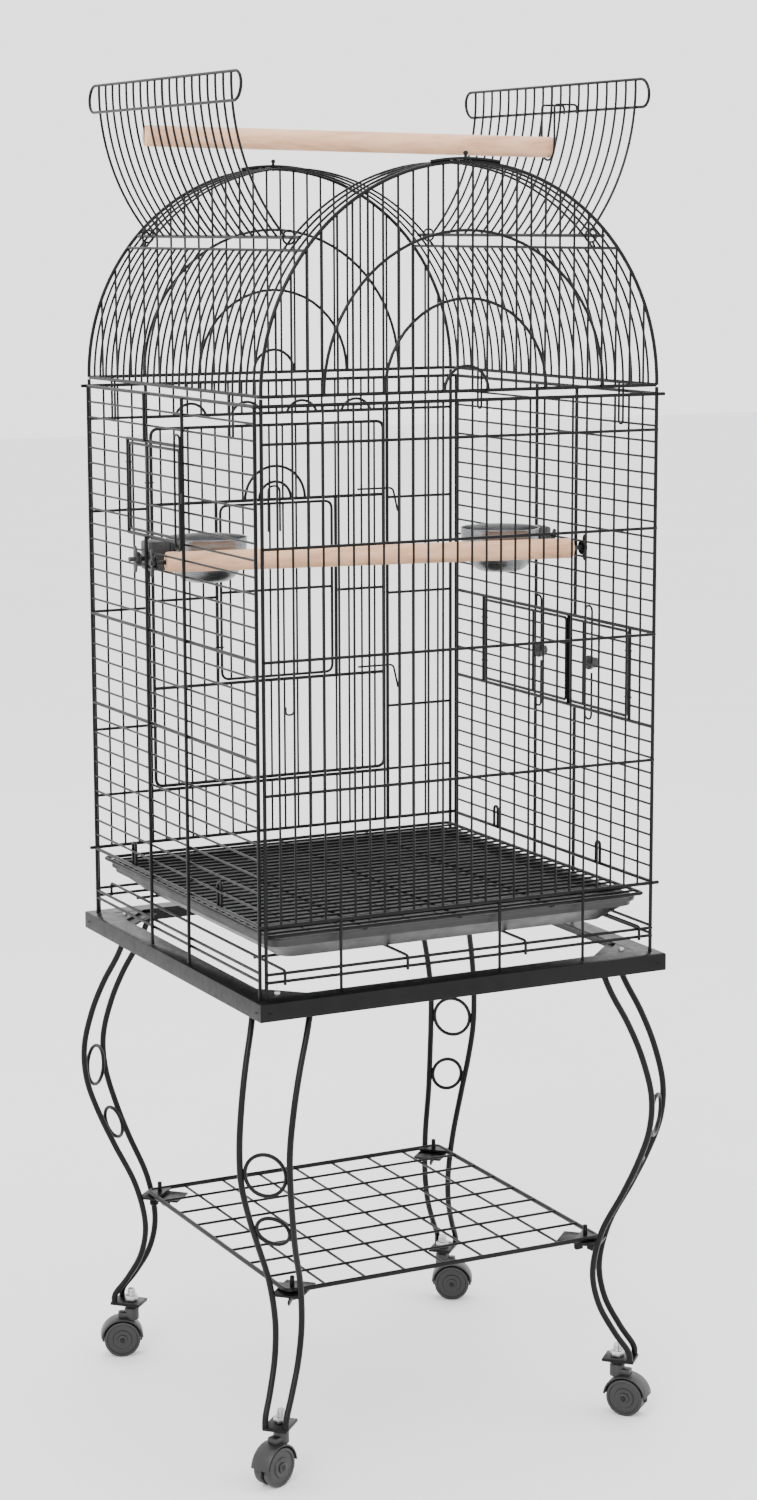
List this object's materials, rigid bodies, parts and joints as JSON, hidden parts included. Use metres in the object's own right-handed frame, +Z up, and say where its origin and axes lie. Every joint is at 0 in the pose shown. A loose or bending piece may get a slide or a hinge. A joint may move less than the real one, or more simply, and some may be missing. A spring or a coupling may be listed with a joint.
{
  "type": "bird cage on stand",
  "caption": "Domed wire bird cage with a play top, on a wheeled stand with scrolled legs and a lower shelf.",
  "frame": {"origin": "floor, under the middle of the stand", "axes": "+Z up; +Y towards the main door; +X to the right as seen from the plain back, with the larger pair of feeder doors on +X"},
  "size_m": [0.4866, 0.4866, 1.3768],
  "materials": {
    "black_steel": "satin black powder coat",
    "black_plastic": "matt black",
    "wood": "smooth bare beech",
    "stainless": "spun stainless steel",
    "zinc": "zinc plated"
  },
  "bodies": {
    "cage": {"back_panel": "black_steel", "door_panel": "black_steel", "left_panel": "black_steel", "right_panel": "black_steel", "dome_back_end": "black_steel", "dome_front_end": "black_steel", "dome_left_wall": "black_steel", "dome_right_wall": "black_steel", "inner_perch": "wood", "left_perch_nut": "zinc", "right_perch_nut": "zinc", "left_bowl_clamp": "black_plastic", "left_bowl_nut": "black_plastic", "right_bowl_clamp": "black_plastic", "right_bowl_nut": "black_plastic", "tray_rack": "black_steel", "base_frame": "black_steel", "shelf": "black_steel", "near_leg": "black_steel", "right_leg": "black_steel", "left_leg": "black_steel", "far_leg": "black_steel", "near_shelf_wing_bolt": "black_steel", "right_shelf_wing_bolt": "black_steel", "left_shelf_wing_bolt": "black_steel", "far_shelf_wing_bolt": "black_steel"},
    "main_door": {"main_door": "black_steel"},
    "inner_door": {"inner_door": "black_steel"},
    "inner_latch": {"inner_door_latch": "black_steel"},
    "inner_bail": {"inner_door_bail": "black_steel"},
    "upper_bolt": {"upper_slide_bolt": "black_steel"},
    "lower_bolt": {"lower_slide_bolt": "black_steel"},
    "left_feeder_door": {"left_feeder_door": "black_steel"},
    "left_feeder_latch": {"left_feeder_latch": "black_steel"},
    "right_feeder_door_small": {"right_feeder_door_small": "black_steel"},
    "right_feeder_latch_small": {"right_feeder_latch_small": "black_steel"},
    "right_feeder_door_large": {"right_feeder_door_large": "black_steel"},
    "right_feeder_latch_large": {"right_feeder_latch_large": "black_steel"},
    "left_top_door": {"left_top_door": "black_steel"},
    "right_top_door": {"right_top_door": "black_steel", "perch_hook": "black_steel"},
    "play_perch": {"play_perch": "wood"},
    "tray": {"tray": "black_plastic"},
    "grate": {"grate": "black_steel"},
    "left_bowl": {"left_bowl": "stainless"},
    "right_bowl": {"right_bowl": "stainless"},
    "near_caster": {"near_caster": "black_plastic"},
    "near_wheels": {"near_wheel_a": "black_plastic", "near_wheel_b": "black_plastic"},
    "right_caster": {"right_caster": "black_plastic"},
    "right_wheels": {"right_wheel_a": "black_plastic", "right_wheel_b": "black_plastic"},
    "left_caster": {"left_caster": "black_plastic"},
    "left_wheels": {"left_wheel_a": "black_plastic", "left_wheel_b": "black_plastic"},
    "far_caster": {"far_caster": "black_plastic"},
    "far_wheels": {"far_wheel_a": "black_plastic", "far_wheel_b": "black_plastic"}
  },
  "joints": [
    {"name": "main_door_hinge", "type": "hinge", "parent": "cage", "child": "main_door", "pos_m": [-0.1471, 0.216, 0.83], "axis": [0, 0, 1], "range_deg": [0, 95]},
    {"name": "inner_door_hinge", "type": "hinge", "parent": "main_door", "child": "inner_door", "pos_m": [-0.0671, 0.216, 0.84], "axis": [0, 0, 1], "range_deg": [0, 95]},
    {"name": "inner_latch_slide", "type": "slide", "parent": "inner_door", "child": "inner_latch", "axis": [0, 0, 1], "range_m": [0, 0.01]},
    {"name": "inner_bail_swing", "type": "hinge", "parent": "main_door", "child": "inner_bail", "pos_m": [0, 0.2216, 0.74], "axis": [1, 0, 0], "range_deg": [0, 90]},
    {"name": "upper_bolt_slide", "type": "slide", "parent": "main_door", "child": "upper_bolt", "axis": [-1, 0, 0], "range_m": [0, 0.022]},
    {"name": "lower_bolt_slide", "type": "slide", "parent": "main_door", "child": "lower_bolt", "axis": [-1, 0, 0], "range_m": [0, 0.022]},
    {"name": "left_feeder_hinge", "type": "hinge", "parent": "cage", "child": "left_feeder_door", "pos_m": [-0.22, 0.0971, 0.972], "axis": [0, 0, -1], "range_deg": [0, 95]},
    {"name": "left_feeder_latch_slide", "type": "slide", "parent": "left_feeder_door", "child": "left_feeder_latch", "axis": [0, 0, 1], "range_m": [0, 0.01]},
    {"name": "right_feeder_small_hinge", "type": "hinge", "parent": "cage", "child": "right_feeder_door_small", "pos_m": [0.22, -0.1591, 0.78], "axis": [0, 0, -1], "range_deg": [0, 95]},
    {"name": "right_feeder_small_latch_slide", "type": "slide", "parent": "right_feeder_door_small", "child": "right_feeder_latch_small", "axis": [0, 0, 1], "range_m": [0, 0.01]},
    {"name": "right_feeder_large_hinge", "type": "hinge", "parent": "cage", "child": "right_feeder_door_large", "pos_m": [0.22, 0.1401, 0.78], "axis": [0, 0, 1], "range_deg": [0, 95]},
    {"name": "right_feeder_large_latch_slide", "type": "slide", "parent": "right_feeder_door_large", "child": "right_feeder_latch_large", "axis": [0, 0, 1], "range_m": [0, 0.01]},
    {"name": "left_top_door_hinge", "type": "hinge", "parent": "cage", "child": "left_top_door", "pos_m": [-0.165, 0, 1.223], "axis": [0, -1, 0], "range_deg": [0, 25]},
    {"name": "right_top_door_hinge", "type": "hinge", "parent": "cage", "child": "right_top_door", "pos_m": [0.165, 0, 1.223], "axis": [0, 1, 0], "range_deg": [0, 25]},
    {"name": "play_perch_lift", "type": "slide", "parent": "cage", "child": "play_perch", "axis": [0, 0, 1], "range_m": [0, 0.25]},
    {"name": "tray_slide", "type": "slide", "parent": "cage", "child": "tray", "axis": [0, 1, 0], "range_m": [0, 0.35]},
    {"name": "grate_slide", "type": "slide", "parent": "cage", "child": "grate", "axis": [0, 1, 0], "range_m": [0, 0.35]},
    {"name": "left_bowl_lift", "type": "slide", "parent": "cage", "child": "left_bowl", "axis": [0, 0, 1], "range_m": [0, 0.1]},
    {"name": "right_bowl_lift", "type": "slide", "parent": "cage", "child": "right_bowl", "axis": [0, 0, 1], "range_m": [0, 0.1]},
    {"name": "near_caster_swivel", "type": "hinge", "parent": "cage", "child": "near_caster", "pos_m": [-0.19516, -0.19516, 0.055], "axis": [0, 0, 1], "continuous": true},
    {"name": "near_wheel_spin", "type": "hinge", "parent": "near_caster", "child": "near_wheels", "pos_m": [-0.20513, -0.19981, 0.02], "axis": [0.4226, -0.9063, 0], "continuous": true},
    {"name": "right_caster_swivel", "type": "hinge", "parent": "cage", "child": "right_caster", "pos_m": [0.19516, -0.19516, 0.055], "axis": [0, 0, 1], "continuous": true},
    {"name": "right_wheel_spin", "type": "hinge", "parent": "right_caster", "child": "right_wheels", "pos_m": [0.20223, -0.20359, 0.02], "axis": [0.766, 0.6428, 0], "continuous": true},
    {"name": "left_caster_swivel", "type": "hinge", "parent": "cage", "child": "left_caster", "pos_m": [-0.19516, 0.19516, 0.055], "axis": [0, 0, 1], "continuous": true},
    {"name": "left_wheel_spin", "type": "hinge", "parent": "left_caster", "child": "left_wheels", "pos_m": [-0.2055, 0.19892, 0.02], "axis": [-0.342, -0.9397, 0], "continuous": true},
    {"name": "far_caster_swivel", "type": "hinge", "parent": "cage", "child": "far_caster", "pos_m": [0.19516, 0.19516, 0.055], "axis": [0, 0, 1], "continuous": true},
    {"name": "far_wheel_spin", "type": "hinge", "parent": "far_caster", "child": "far_wheels", "pos_m": [0.20469, 0.18966, 0.02], "axis": [0.5, 0.866, 0], "continuous": true}
  ]
}
